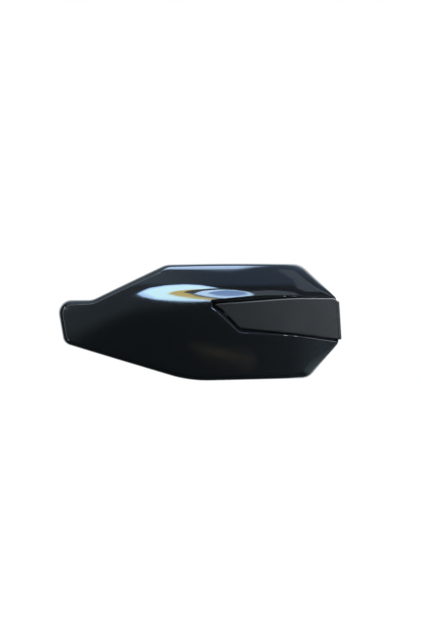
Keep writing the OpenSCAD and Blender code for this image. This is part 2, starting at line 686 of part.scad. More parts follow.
// The stay: three level seats joined by joggles, then a bend back to the eye on the pivot bolt
eye_y = datum_ahead - pivot_ahead;
eye_x = -datum_out - lug_w / 2 - stay_t / 2;
joggle_run = 12;
function strip_side(line, offset) =
    let (n = len(line))
    [for (i = [0:n - 1])
        let (d = unit(line[min(n - 1, i + 1)] - line[max(0, i - 1)]))
        line[i] + offset * [-d[1], d[0]]];
module mounting_stay() {
    mid = [for (d = stay_depth) d + stay_t / 2];
    far_x = fixing_x[2] + stay_h / 2;
    step_2 = (fixing_x[1] + fixing_x[2]) / 2;
    step_1 = (fixing_x[0] + fixing_x[1]) / 2;
    line = open_line([
        [far_x, mid[2], 0], [step_2 + joggle_run / 2, mid[2], stay_bend_r],
        [step_2 - joggle_run / 2, mid[1], stay_bend_r], [step_1 + joggle_run / 2, mid[1], stay_bend_r],
        [step_1 - joggle_run / 2, mid[0], stay_bend_r], [eye_x, mid[0], stay_bend_r],
        [eye_x, eye_y + stay_h / 2, 0]
    ]);
    outline = concat(strip_side(line, stay_t / 2), [for (i = [len(line) - 1:-1:0])
        strip_side(line, -stay_t / 2)[i]]);
    color(coated_steel) translate([datum_out, -datum_ahead, 0])
        difference() {
            intersection() {
                translate([0, 0, -stay_h / 2]) linear_extrude(height = stay_h) polygon(outline);
                // Rounds the strip's two ends
                union() {
                    translate([eye_x - stay_h, -stay_h, -stay_h])
                        cube([fixing_x[2] - eye_x + stay_h, eye_y + stay_h, 2 * stay_h]);
                    rod(fixing_x[2], 0, 0, 60, stay_h / 2);
                    translate([eye_x - 10, eye_y, 0]) rotate([0, 90, 0]) cylinder(r = stay_h / 2, h = 20);
                }
            }
            for (i = [0:2]) rod(fixing_x[i], 0, 0, 60, waist_r + 0.02);
            translate([eye_x - 10, eye_y, 0]) rotate([0, 90, 0]) cylinder(r = pivot_r + 0.3, h = 20);
        }
}

// The clamp, drawn about the bar's axis
module along_x(from, to, r) translate([from, 0, 0]) rotate([0, 90, 0]) cylinder(r = r, h = to - from);

// One half of the clamp: side is -1 for the front half and 1 for the rear half
module clamp_half(side, ear_depth) difference() {
    union() {
        along_x(-clamp_w / 2, clamp_w / 2, clamp_r);
        translate([-clamp_w / 2, -ear_depth, -clamp_screw_z]) cube([clamp_w, 2 * ear_depth, 2 * clamp_screw_z]);
        for (s = [-1, 1]) translate([0, 0, s * clamp_screw_z]) intersection() {
            along_x(-clamp_w / 2, clamp_w / 2, ear_r * 2);
            translate([-clamp_w / 2, -ear_depth, -ear_r]) cube([clamp_w, 2 * ear_depth, 2 * ear_r]);
        }
    }
    along_x(-clamp_w, clamp_w, bar_d / 2);
    // The other half's room, past half of the gap
    translate([-clamp_w, side > 0 ? -60 + clamp_gap / 2 : -clamp_gap / 2, -60]) cube([2 * clamp_w, 60, 120]);
}
clamp_screw_l = 20;
clamp_washer_t = 1;
module clamp_body() color(cast_alloy) difference() {
    union() {
        clamp_half(-1, ear_front);
        // Lug for the pivot bolt
        hull() {
            translate([0, -pivot_ahead, 0]) along_x(-lug_w / 2, lug_w / 2, lug_r);
            translate([-lug_w / 2, -bar_d / 2 - clamp_wall + 2, -lug_r]) cube([lug_w, 2, 2 * lug_r]);
        }
    }
    translate([0, -pivot_ahead, 0]) along_x(-lug_w, lug_w, pivot_r + 0.2);
    for (s = [-1, 1]) rod(0, s * clamp_screw_z, -ear_front - 1, 1, clamp_bolt_r + thread_clear);
}
module clamp_cap() color(cast_alloy) difference() {
    clamp_half(1, ear_back);
    for (s = [-1, 1]) rod(0, s * clamp_screw_z, -1, ear_back + 1, clamp_bolt_r + 0.3);
}
module socket_screw(r, l) difference() {
    union() {
        translate([0, 0, -l]) cylinder(r = r, h = l);
        cylinder(r = 1.65 * r, h = 2 * r);
    }
    translate([0, 0, r]) cylinder(r = 0.95 * r, h = 2 * r, $fn = 6);
}
module clamp_screw(s) color(zinc) translate([0, ear_back + clamp_washer_t, s * clamp_screw_z])
    rotate([-90, 0, 0]) socket_screw(clamp_bolt_r, clamp_screw_l);
module clamp_washer(s) color(zinc) translate([0, ear_back, s * clamp_screw_z])
    rotate([-90, 0, 0]) washer(clamp_washer_r, clamp_bolt_r + 0.15, clamp_washer_t);

// The pivot bolt runs outboard through the stay's eye and the lug
pivot_across = 12;
pivot_head_h = 7;
pivot_flange_r = 8.5;
pivot_flange_t = 1.6;
pivot_washer_r = 8;
pivot_washer_t = 1.6;
pivot_nut_across = 13;
pivot_nut_h = 8;
pivot_tail = 1.5;
pivot_bolt_l = stay_t + lug_w + pivot_washer_t + pivot_nut_h + pivot_tail;
module at_pivot(x) translate([x, -pivot_ahead, 0]) rotate([0, 90, 0]) children();
module pivot_bolt() color(zinc) at_pivot(-lug_w / 2 - stay_t) mirror([0, 0, 1])
    flange_bolt(pivot_r, pivot_bolt_l, pivot_across, pivot_head_h, pivot_flange_r, pivot_flange_t);
module pivot_washer() color(zinc) at_pivot(lug_w / 2)
    washer(pivot_washer_r, pivot_r + 0.3, pivot_washer_t);
module pivot_nut() color(zinc) at_pivot(lug_w / 2 + pivot_washer_t) difference() {
    union() {
        hex_head(pivot_nut_across, pivot_nut_h - 2);
        // Collar that holds the locking ring
        cylinder(r = 5.8, h = pivot_nut_h);
    }
    translate([0, 0, -1]) cylinder(r = pivot_r + thread_clear, h = pivot_nut_h + 2);
}

outer_shell();
matte_insert();
for (i = [0:2]) {
    insert_screw(i);
    insert_washer(i);
    boss_nut(i);
    stay_collar(i);
    stay_grommet(i);
    stay_bolt(i);
}
mounting_stay();
clamp_body();
clamp_cap();
for (i = [0:1]) {
    clamp_screw(1 - 2 * i);
    clamp_washer(1 - 2 * i);
}
pivot_bolt();
pivot_washer();
pivot_nut();
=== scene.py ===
"""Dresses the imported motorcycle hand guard: gloss shell, satin insert, coated stay and plated hardware."""

import json
import math

import bmesh
import bpy
import numpy as np
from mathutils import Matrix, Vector


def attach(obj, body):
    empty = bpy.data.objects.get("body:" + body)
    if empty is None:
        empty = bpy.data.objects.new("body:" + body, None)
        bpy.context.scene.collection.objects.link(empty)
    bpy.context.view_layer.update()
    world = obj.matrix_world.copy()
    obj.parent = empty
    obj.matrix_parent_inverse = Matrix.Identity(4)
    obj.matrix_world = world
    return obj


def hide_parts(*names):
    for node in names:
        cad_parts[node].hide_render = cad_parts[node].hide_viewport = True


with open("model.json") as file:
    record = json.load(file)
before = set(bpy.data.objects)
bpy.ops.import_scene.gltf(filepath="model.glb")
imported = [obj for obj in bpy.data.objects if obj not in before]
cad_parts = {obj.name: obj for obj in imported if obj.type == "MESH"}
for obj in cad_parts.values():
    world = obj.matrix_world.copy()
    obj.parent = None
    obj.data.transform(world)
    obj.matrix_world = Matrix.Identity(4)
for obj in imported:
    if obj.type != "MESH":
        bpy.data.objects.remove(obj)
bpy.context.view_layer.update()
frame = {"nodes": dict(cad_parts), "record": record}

MM = 0.001

# Where the datum of the shell and the insert stands in the frame, in millimetres
datum = np.array([101.6, -97.98, 3.0])

# Sizes of the guard in millimetres, as the part's source has them
neck_reach, neck_top, neck_bottom, neck_run, neck_rake = 140.6, 21.0, 21.2, 36.0, 7.5
neck_corner_r, neck_heel_r, neck_bend_r = 12.5, 9.5, 18.0
upper_slope_run, shoulder_r, face_top, top_run, top_crown = 34.2, 21.0, 55.0, 130.0, 0.8
upper_corner_r, face_bottom, lower_slope_run, keel_r, top_rise = 17.0, 57.3, 29.0, 125.0, 0.5
bottom_run, bottom_rise, lower_corner_r, end_corner_r = 115.0, 2.7, 13.0, 6.0
wall, crown_r, crown_x, crest_top, crest_neck = 3.0, 260.0, 25.0, 28.0, 4.0
upper_slope, upper_soft, lower_slope, lower_soft = 0.78, 14.0, 0.25, 30.0
edge_round, slope_round, end_edge_round, round_power = 4.5, 9.0, 2.2, 1.6
flange_back, flange_r, flange_x = 30.0, 300.0, 26.0
insert_t, insert_gap, insert_sink, insert_proud = 2.6, 0.3, 3.2, 0.8
insert_leg, insert_end_r, insert_border, insert_border_t = 9.0, 3.2, 1.7, 1.4
tip_x, tip_z, elbow_x, elbow_z = 14.0, 16.5, 38.6, 6.6
insert_reach, insert_top, insert_bottom = 135.5, 22.8, 17.8
peg_from_tip, peg_from_end, peg_r, peg_screw_r = 24.0, 18.0, 3.5, 1.75
pad_rise, pad_r = 3.0, 6.5
stay_depth, fixing_in, stay_z = (45.98, 34.0, 22.03), (47.0, 81.0, 133.0), -3.0
boss_r, nut_r, nut_l, lip_t, collar_flange_t = 7.0, 4.0, 7.0, 1.8, 1.2
insert_lean, least_round = 2.8, 1
crest_turn_x, crest_turn_run = -50, 90
slope_start_x, slope_full_x, slope_end_x = 80, 102, 112

# Differences that don't count, in millimetres
TINY = 1e-9


# Form of the face
def smooth(t):
    """0 to 1 with a soft start and end."""
    c = np.clip(t, 0, 1)
    return c * c * (3 - 2 * c)


def mix(a, b, t):
    """The value at share t of the way from a to b."""
    return a + (b - a) * t


def sag(x):
    """Depth of the crown along the bar."""
    return crown_r - np.sqrt(crown_r ** 2 - (x - crown_x) ** 2)


def crest_z(x):
    """Height of the crest, from which the face falls away above and below."""
    return mix(crest_top, crest_neck, smooth((crest_turn_x - x) / crest_turn_run))


def fall(s, slope, soft):
    """Depth of a slope at a height s from the crest, where it starts softly."""
    return slope * (np.sqrt(s * s + soft * soft) - soft)


def face_y(x, z):
    """Depth of the shell's face behind the datum."""
    s = z - crest_z(x)
    return sag(x) + np.where(s > 0, fall(s, upper_slope, upper_soft), fall(s, lower_slope, lower_soft))


def rear_y(x):
    """Depth of the flange's rear edge."""
    return flange_back + flange_r - np.sqrt(flange_r ** 2 - (x - flange_x) ** 2)


end_clear = insert_t + insert_gap
end_x_top = insert_reach - insert_lean / 2 - end_clear
end_x_bottom = insert_reach + insert_lean / 2 - end_clear


def edge_r(x):
    """Radius of the front edge: it grows along the two outboard slopes and is tight under the insert."""
    grow = smooth((x - slope_start_x) / (slope_full_x - slope_start_x))
    shrink = smooth((x - slope_end_x) / (end_x_top - slope_end_x))
    return mix(mix(edge_round, slope_round, grow), end_edge_round, shrink)


# Outline of the shell, seen from the front
arc_steps = 60
half_arc = arc_steps // 2


def unit(v):
    return v / np.linalg.norm(v)


def corner_arc(before, corner, after, r):
    """Points along the arc that rounds one corner of an outline."""
    u, w = unit(before - corner), unit(after - corner)
    half = math.acos(float(u @ w)) / 2
    centre = corner + unit(u + w) * r / math.sin(half)
    begin = corner + u * r / math.tan(half) - centre
    end = corner + w * r / math.tan(half) - centre
    a = math.atan2(begin[1], begin[0])
    turn = (math.atan2(end[1], end[0]) - a + 3 * math.pi) % (2 * math.pi) - math.pi
    t = a + turn * np.linspace(0, 1, arc_steps + 1)
    return centre + r * np.stack([np.cos(t), np.sin(t)], axis=1)


def open_line(corners):
    """A line of straight runs and arcs from corners given as (x, z, radius)."""
    spots = [np.array(c[:2], float) for c in corners]
    middle = [corner_arc(spots[i - 1], spots[i], spots[i + 1], corners[i][2])
              for i in range(1, len(spots) - 1)]
    return np.concatenate([spots[:1]] + middle + [spots[-1:]])


def on_line(x, line):
    """Height of a line at a place along the bar."""
    return np.interp(x, line[:, 0], line[:, 1])


top_end_x = end_x_top - upper_slope_run
bottom_end_x = end_x_bottom - lower_slope_run
top_crown_half = 36
top_crown_r = top_crown_half * top_run / (2 * top_crown)
end_top_z = insert_top + 0.3
end_bottom_z = -insert_bottom - 2.7
# Corners as (x, z, radius), from the neck's heel outboard along the bottom and back along the top
shell_corners = [
    (-neck_reach + neck_rake, -neck_bottom, neck_heel_r),
    (bottom_end_x - bottom_run, -face_bottom, keel_r),
    (bottom_end_x, -face_bottom + bottom_rise, lower_corner_r),
    (end_x_bottom, end_bottom_z, end_corner_r),
    (end_x_top, end_top_z, end_corner_r),
    (top_end_x, face_top + top_rise, upper_corner_r),
    (top_end_x - top_run / 2, face_top + top_rise / 2 + top_crown, top_crown_r),
    (top_end_x - top_run, face_top, shoulder_r),
    (-neck_reach + neck_run, neck_top, neck_bend_r),
    (-neck_reach, neck_top, neck_corner_r),
]
shell_spots = [np.array(c[:2]) for c in shell_corners]
arcs = [corner_arc(shell_spots[i - 1], spot, shell_spots[(i + 1) % len(shell_spots)], shell_corners[i][2])
        for i, spot in enumerate(shell_spots)]


def dense(parts, step=0.2, reach=3):
    """A side of the outline as places about a step apart, each with its inward normal, which is taken over
    the neighbours within reach."""
    line = np.concatenate(parts)
    run = np.concatenate([[0], np.cumsum(np.linalg.norm(np.diff(line, axis=0), axis=1))])
    keep = np.concatenate([[True], np.diff(run) > TINY])
    line, run = line[keep], run[keep]
    s = np.linspace(0, run[-1], int(run[-1] / step) + 2)
    p = np.stack([np.interp(s, run, line[:, 0]), np.interp(s, run, line[:, 1])], axis=1)
    ahead = p[np.minimum(np.arange(len(p)) + reach, len(p) - 1)]
    behind = p[np.maximum(np.arange(len(p)) - reach, 0)]
    d = (ahead - behind) / np.linalg.norm(ahead - behind, axis=1)[:, None]
    return np.column_stack([p, -d[:, 1], d[:, 0]])


south_side = dense([arcs[0][half_arc:], arcs[1], arcs[2], arcs[3][:half_arc + 1]])
east_side = dense([arcs[3][half_arc:], arcs[4][:half_arc + 1]])
north_side = dense([arcs[4][half_arc:], *arcs[5:9], arcs[9][:half_arc + 1]])[::-1]
west_side = dense([arcs[9][half_arc:], arcs[0][:half_arc + 1]])[::-1]


def rounded(place, inset, angle):
    """Places on the rounding of the front edge, with their drop behind the face: at angle 0 on the face and
    at 90 degrees on the side wall."""
    r = np.maximum(least_round, edge_r(place[:, 0]) - inset)
    inward = inset + r * (1 - math.sin(angle) ** (2 / round_power))
    x, z = place[:, 0] + place[:, 2] * inward, place[:, 1] + place[:, 3] * inward
    return x, z, r * (1 - max(0.0, math.cos(angle)) ** (2 / round_power))


# Outline of the insert, and of the pocket where it breaks through the face
insert_bend_x, insert_bend_r, lower_bend_x = 90.0, 250.0, 92.0
lower_bend_z = mix(elbow_z, insert_bottom, 0.455)
insert_corner_r, insert_heel_r, heel_rake, tip_half = 6.0, 2.5, 0.2, 0.6
tip_bend_out, tip_bend_down, tip_bend_r, elbow_r = 7, 5, 10, 5
insert_corner_x, insert_heel_x = insert_reach - insert_lean / 2, insert_reach + insert_lean / 2
upper_line = open_line([
    (tip_x, tip_z + tip_half, 0),
    (insert_bend_x, insert_top, insert_bend_r),
    (insert_corner_x, insert_top, insert_corner_r),
    (insert_reach, insert_top - 2 * insert_corner_r, 0),
])
lower_line = open_line([
    (tip_x, tip_z - tip_half, 0),
    (tip_x + tip_bend_out, tip_z - tip_bend_down, tip_bend_r),
    (elbow_x, -elbow_z, elbow_r),
    (lower_bend_x, -lower_bend_z, insert_bend_r),
    (insert_heel_x, -insert_bottom, insert_heel_r),
    (insert_heel_x - heel_rake, -insert_bottom + 2 * insert_heel_r, 0),
])

# How far the pocket's lip stands out from the insert's outline, with its radii
lip_tip, lip_tip_over, lip_tip_under = 2.8, 3.1, 1.9
lip_bend_in, lip_bend_over, lip_bend_r, lip_end_over = 30, 1.7, 120, 1.4
lip_elbow_in, lip_elbow_under, lip_elbow_r, lip_lower_bend = 1.6, 3.6, 6, 2
lip_heel_under, lip_heel_r, lip_end_under, pocket_overrun = 2.6, 40, 4.6, 16
pocket_out_x = insert_reach + pocket_overrun
lip_start_x = tip_x - lip_tip
lip_upper = open_line([
    (lip_start_x, tip_z + lip_tip_over, 0),
    (insert_bend_x - lip_bend_in, insert_top + lip_bend_over, lip_bend_r),
    (pocket_out_x, insert_top + lip_end_over, 0),
])
lip_lower = open_line([
    (lip_start_x, tip_z - lip_tip_under, 0),
    (elbow_x - lip_elbow_in, -elbow_z - lip_elbow_under, lip_elbow_r),
    (lower_bend_x, -lower_bend_z - lip_lower_bend, insert_bend_r),
    (insert_heel_x, -insert_bottom - lip_heel_under, lip_heel_r),
    (pocket_out_x, -insert_bottom - lip_end_under, 0),
])


def sink(x):
    """Depth of the insert's face below the shell's: it sinks at the tip and stands proud at the end."""
    return mix(insert_sink, -insert_proud, (x - tip_x) / (insert_reach - tip_x))


def high_z(x):
    """Upper edge of the pocket's floor, at full height beyond the insert's rounded corner."""
    return np.where(x > insert_bend_x, insert_top, on_line(x, upper_line))


# Rounding of the pocket's lip, the most that it takes of a wall's run, the same at the tip, and the least run
lip_round, lip_share, tip_share, least_run = 0.45, 0.3, 0.25, 0.5


def pocket_lines(x, grow):
    """The pocket's lines over x, set out by grow: lower lip, floor's lower and upper edge, upper lip."""
    return (on_line(x, lip_lower) - grow, on_line(x, lower_line) - insert_gap - grow,
            high_z(x) + insert_gap + grow, on_line(x, lip_upper) + grow)


def pocket_tip(x, grow):
    """How far down the tip's wall a place lies, from 0 at the lip to 1 at the floor."""
    lip_x, floor_x = lip_start_x - grow, tip_x - insert_gap - grow
    return (x - lip_x) / (floor_x - lip_x)


# The rows of the face follow the pocket's lines and run on from its tip to these heights at the neck
neck_rows_x, neck_rows = -138, [-8.0, -4.5, -1.5, 1.5, 4.5, 8.0]
fine_x = np.linspace(-146, 150, 2961)


def guides(grow):
    """Heights over fine_x of the lines that the rows follow, low to high."""
    lip_x = lip_start_x - grow
    low_lip, low_floor, high_floor, high_lip = pocket_lines(fine_x, grow)
    third = (high_lip[0] - low_lip[0]) / 3
    share = np.clip(pocket_tip(fine_x, grow), 0, 1)
    low_floor = mix(low_lip[0] + third, low_floor, share)
    high_floor = mix(high_lip[0] - third, high_floor, share)
    lines = [low_lip - lip_round, low_lip, low_floor, high_floor, high_lip, high_lip + lip_round]
    back = np.clip((lip_x - fine_x) / (lip_x - neck_rows_x), 0, 1)
    return [mix(line, end, back) for line, end in zip(lines, neck_rows)]


def eased(t, e):
    """0 to 1 with its two corners rounded over e."""
    low = np.where(t < -e, 0, np.where(t < e, (t + e) ** 2 / (4 * e), t))
    return np.where(t > 1 + e, 1, np.where(t > 1 - e, 1 - (1 + e - t) ** 2 / (4 * e), low))


def pocket_depth(x, z, grow):
    """Depth of the pocket below the face at a place."""
    low_lip, low_floor, high_floor, high_lip = pocket_lines(x, grow)
    low_run = np.maximum(least_run, low_floor - low_lip)
    high_run = np.maximum(least_run, high_lip - high_floor)
    sides = np.minimum(eased((z - low_lip) / low_run, np.minimum(lip_share, lip_round / low_run)),
                       eased((high_lip - z) / high_run, np.minimum(lip_share, lip_round / high_run)))
    return np.minimum(sides, eased(pocket_tip(x, grow), tip_share)) * (sink(x) + insert_t + insert_gap)


# Columns of the face, from the neck to the free end: their gap, and the stretches in which they stand closer
columns_from, columns_to, column_gap = -136, 131, 0.95
close_columns = ((9.5, 16, 0.3), (32, 44, 0.5), (118, math.inf, 0.5), (-math.inf, -126, 0.5))


def column_shares():
    """Places of the columns as shares of the way from the neck to the free end."""
    x = np.linspace(columns_from, columns_to, 4001)
    gap = np.full_like(x, column_gap)
    for begin, end, closer in close_columns:
        gap[(x > begin) & (x < end)] = closer
    count = np.concatenate([[0], np.cumsum(np.diff(x) / gap[1:])])
    n = int(round(count[-1]))
    return (np.interp(np.linspace(0, count[-1], n + 1), count, x) - x[0]) / (x[-1] - x[0])


shares = column_shares()
# Rows of the face, as shares of each band between two guides: the plain face below the pocket, its lower
# lip, its lower wall, its floor, its upper wall, its upper lip and the plain face above
bands = [np.linspace(0, 1, 27)[:-1], [0, 0.5], [0, 0.1, 0.2, 0.35, 0.65], np.linspace(0, 1, 13)[:-1],
         [0, 0.35, 0.65, 0.8, 0.9], [0, 0.5], np.linspace(0, 1, 27)]
least_band, settling_rounds, round_steps = 0.004, 6, 9


def border_of(ni, nj):
    """Indices of a grid's border points, once round."""
    return np.array([i * (nj + 1) for i in range(ni)] + [ni * (nj + 1) + j for j in range(nj)]
                    + [i * (nj + 1) + nj for i in range(ni, 0, -1)] + list(range(nj, 0, -1)))


def grid_quads(ni, nj):
    """Faces of a grid whose points run along j first."""
    i, j = np.meshgrid(np.arange(ni), np.arange(nj), indexing="ij")
    at = (i * (nj + 1) + j).ravel()
    return np.stack([at, at + nj + 1, at + nj + 2, at + 1], axis=1)


def skin(inset, grow):
    """The points of one skin of the shell: the face's grid and the rings that turn down to the side wall."""
    def front_side(line, along_x):
        """A side of the outline where the face meets the rounding. Its places are looked up by rising keys,
        which are x along the bar and z at the two ends."""
        x, z, _ = rounded(line, inset, 0)
        keys = np.maximum.accumulate(x if along_x else z) + np.arange(len(x)) * TINY
        return {"line": line, "x": x, "z": z, "keys": keys}

    def stand(side, wanted):
        """The outline's places at the wanted keys of a side."""
        count = np.arange(len(side["keys"]))
        at = np.interp(wanted, side["keys"], count)
        return np.stack([np.interp(at, count, side["line"][:, c]) for c in range(4)], axis=1)

    south, north = front_side(south_side, True), front_side(north_side, True)
    west, east = front_side(west_side, False), front_side(east_side, False)
    south_x = mix(south["keys"][0], south["keys"][-1], shares)
    north_x = mix(north["keys"][0], north["keys"][-1], shares)
    south_z = np.interp(south_x, south["keys"], south["z"])
    north_z = np.interp(north_x, north["keys"], north["z"])

    def across(v, share):
        """Place along the bar at a share of the way from the neck to the free end, on row v."""
        neck = np.interp(mix(south_z[0], north_z[0], v), west["keys"], west["x"])
        free_end = np.interp(mix(south_z[-1], north_z[-1], v), east["keys"], east["x"])
        return mix(neck, free_end, share)

    lines = [np.zeros_like(shares)]
    for guide in guides(grow):
        v = np.full_like(shares, 0.5)
        for _ in range(settling_rounds):
            v = (np.interp(across(v, shares), fine_x, guide) - south_z) / (north_z - south_z)
        lines.append(v)
    lines.append(np.ones_like(shares))
    for k in range(1, len(lines) - 1):
        lines[k] = np.maximum(lines[k], lines[k - 1] + least_band)
    for k in range(len(lines) - 2, 0, -1):
        lines[k] = np.minimum(lines[k], lines[k + 1] - least_band)
    v = np.stack([mix(lines[b], lines[b + 1], f) for b, band in enumerate(bands) for f in band], axis=1)
    z = mix(south_z[:, None], north_z[:, None], v)
    x = across(v, shares[:, None])
    y = face_y(x, z) + inset + pocket_depth(x, z, grow)
    ni, nj = v.shape[0] - 1, v.shape[1] - 1
    places = np.concatenate([
        stand(south, south_x)[:-1], stand(east, z[-1, :])[:-1],
        stand(north, north_x)[::-1][:-1], stand(west, z[0, :])[::-1][:-1]])
    rings = []
    for s in range(1, round_steps + 1):
        rx, rz, drop = rounded(places, inset, math.pi / 2 * s / round_steps)
        front = face_y(rx, rz) + inset
        depth = np.maximum(front + drop, front + pocket_depth(rx, rz, grow))
        rings.append(np.stack([rx, depth, rz], axis=1))
    return np.stack([x, y, z], axis=2).reshape(-1, 3), border_of(ni, nj), rings, (ni, nj)


# The flange's rings, as shares of the way back to the rounding of its rear rim
flange_shares, rim_round = (0.25, 0.5, 0.75, 0.97), 0.7


def flange_rings(edge, rear, stations):
    """Rings of one side of the flange, each at a share of its depth."""
    made = []
    for t in stations:
        ring = edge.copy()
        ring[:, 1] = mix(edge[:, 1], rear - rim_round, t)
        made.append(ring)
    return made


def outer_skin():
    """The whole shell as one closed skin: face, rounding, flange, rear rim and the same again inside."""
    face, border, rings, (ni, nj) = skin(0.0, 0.0)
    inner_face, inner_border, inner_rings, _ = skin(wall, wall)
    edge, inner_edge = rings[-1], inner_rings[-1]
    rear, inner_rear = rear_y(edge[:, 0]), rear_y(inner_edge[:, 0])
    layers = rings + flange_rings(edge, rear, flange_shares)
    for inner, degrees in ((0, 0), (0, 30), (0, 60), (0, 90), (1, 90), (1, 60), (1, 30), (1, 0)):
        a = math.radians(degrees)
        inward = rim_round * (1 - math.cos(a)) / wall
        t = 1 - inward if inner else inward
        ring = mix(edge, inner_edge, t)
        ring[:, 1] = mix(rear, inner_rear, t) - rim_round * (1 - math.sin(a))
        layers.append(ring)
    layers += flange_rings(inner_edge, inner_rear, flange_shares[::-1]) + inner_rings[::-1]
    points = np.concatenate([face] + layers + [inner_face])
    n, m = len(face), len(border)
    far = n + len(layers) * m
    index = [border] + [n + k * m + np.arange(m) for k in range(len(layers))] + [far + inner_border]
    quads = [np.stack([a, b, np.roll(b, -1), np.roll(a, -1)], axis=1) for a, b in zip(index[:-1], index[1:])]
    quads += [grid_quads(ni, nj), far + np.roll(grid_quads(ni, nj)[:, ::-1], 1, axis=1)]
    return points, np.concatenate(quads)


# Materials
def linear(code):
    """An sRGB hex code as linear RGBA."""
    channels = [int(code[i:i + 2], 16) / 255 for i in (1, 3, 5)]
    return [c / 12.92 if c <= 0.04045 else ((c + 0.055) / 1.055) ** 2.4 for c in channels] + [1.0]


def add(tree, kind, settings=None, **links):
    """Adds a node, sets its properties and sockets, and links its inputs."""
    made = tree.nodes.new(kind)
    for key, value in (settings or {}).items():
        if isinstance(key, str) and hasattr(made, key):
            setattr(made, key, value)
        else:
            made.inputs[key].default_value = value
    for key, source in links.items():
        tree.links.new(source, made.inputs[key.replace("_", " ")])
    return made


def start(name):
    """A new material with its tree, its object coordinates and its shader."""
    material = bpy.data.materials.new(name)
    material.use_nodes = True
    tree = material.node_tree
    tree.nodes.clear()
    output = add(tree, "ShaderNodeOutputMaterial")
    shader = add(tree, "ShaderNodeBsdfPrincipled")
    tree.links.new(shader.outputs[0], output.inputs[0])
    place = add(tree, "ShaderNodeTexCoord").outputs["Object"]
    return material, tree, place, shader


def per_mm(size):
    """Noise scale that gives features of a size in millimetres in an object measured in metres."""
    return 1000 / size


def polished_abs():
    """ABS moulded in a polished tool: a deep black mirror with only a trace of flow and haze."""
    material, tree, place, shader = start("polished_abs")
    shader.inputs["Base Color"].default_value = linear("#0b0d10")
    shader.inputs["IOR"].default_value = 1.54
    # Slow waves left by the melt's flow, about 12 mm from crest to crest
    flow = add(tree, "ShaderNodeTexNoise", {"Scale": per_mm(12), "Detail": 1.5, "Roughness": 0.4},
               Vector=place)
    bump = add(tree, "ShaderNodeBump", {"Strength": 0.04, "Distance": 0.0004}, Height=flow.outputs[0])
    tree.links.new(bump.outputs[0], shader.inputs["Normal"])
    # Handling haze in patches about 14 mm across
    haze = add(tree, "ShaderNodeTexNoise", {"Scale": per_mm(14), "Detail": 4}, Vector=place)
    rough = add(tree, "ShaderNodeMapRange", {"To Min": 0.04, "To Max": 0.1}, Value=haze.outputs[0])
    tree.links.new(rough.outputs[0], shader.inputs["Roughness"])
    return material


def satin_nylon():
    """Nylon moulded in a spark-eroded tool: a fine even grain scatters the light and mirrors nothing."""
    material, tree, place, shader = start("satin_nylon")
    shader.inputs["IOR"].default_value = 1.53
    shader.inputs["Specular IOR Level"].default_value = 0.03
    shader.inputs["Roughness"].default_value = 0.78
    # Faint cloudiness of the moulding, about 25 mm across
    cloud = add(tree, "ShaderNodeTexNoise", {"Scale": per_mm(25), "Detail": 3}, Vector=place)
    ramp = add(tree, "ShaderNodeMix", {"data_type": "RGBA", 6: linear("#1c1e20"), 7: linear("#202224")})
    tree.links.new(cloud.outputs[0], ramp.inputs[0])
    # Painted highlight: the rounded edge that faces up is painted a lighter grey, standing in for the light
    # that catches it
    lean = add(tree, "ShaderNodeSeparateXYZ", Vector=add(tree, "ShaderNodeNewGeometry").outputs["Normal"])
    painted_highlight_mask = add(tree, "ShaderNodeMapRange", {"From Min": 0.1, "From Max": 0.5}, Value=lean.outputs["Z"])
    # Lighter grey of the painted highlight, mixed in where the edge faces up
    painted_highlight_mix = add(tree, "ShaderNodeMix", {"data_type": "RGBA", 7: linear("#4c5054")})
    tree.links.new(painted_highlight_mask.outputs[0], painted_highlight_mix.inputs[0])
    tree.links.new(ramp.outputs[2], painted_highlight_mix.inputs[6])
    tree.links.new(painted_highlight_mix.outputs[2], shader.inputs["Base Color"])
    # Eroded grain: 0.1 mm pits in the real one, drawn 0.7 mm wide so that it shows
    grain = add(tree, "ShaderNodeTexNoise", {"Scale": per_mm(0.7), "Detail": 2}, Vector=place)
    bump = add(tree, "ShaderNodeBump", {"Strength": 0.35, "Distance": 0.0002}, Height=grain.outputs[0])
    tree.links.new(bump.outputs[0], shader.inputs["Normal"])
    return material


def metal(name, code, roughness, scale, strength):
    """A bare or plated metal whose grain, sized in millimetres, varies its gloss and roughens it."""
    material, tree, place, shader = start(name)
    shader.inputs["Base Color"].default_value = linear(code)
    shader.inputs["Metallic"].default_value = 1.0
    grain = add(tree, "ShaderNodeTexNoise", {"Scale": per_mm(scale), "Detail": 3}, Vector=place)
    rough = add(tree, "ShaderNodeMapRange", {"To Min": roughness * 0.8, "To Max": roughness * 1.25},
                Value=grain.outputs[0])
    tree.links.new(rough.outputs[0], shader.inputs["Roughness"])
    bump = add(tree, "ShaderNodeBump", {"Strength": strength, "Distance": 0.0001}, Height=grain.outputs[0])
    tree.links.new(bump.outputs[0], shader.inputs["Normal"])
    return material


def coat(name, code, ior, roughness, scale, strength):
    """A coat or rubber of one colour and gloss with a grain sized in millimetres."""
    material, tree, place, shader = start(name)
    shader.inputs["Base Color"].default_value = linear(code)
    shader.inputs["IOR"].default_value = ior
    shader.inputs["Roughness"].default_value = roughness
    grain = add(tree, "ShaderNodeTexNoise", {"Scale": per_mm(scale), "Detail": 3}, Vector=place)
    bump = add(tree, "ShaderNodeBump", {"Strength": strength, "Distance": 0.0002}, Height=grain.outputs[0])
    tree.links.new(bump.outputs[0], shader.inputs["Normal"])
    return material


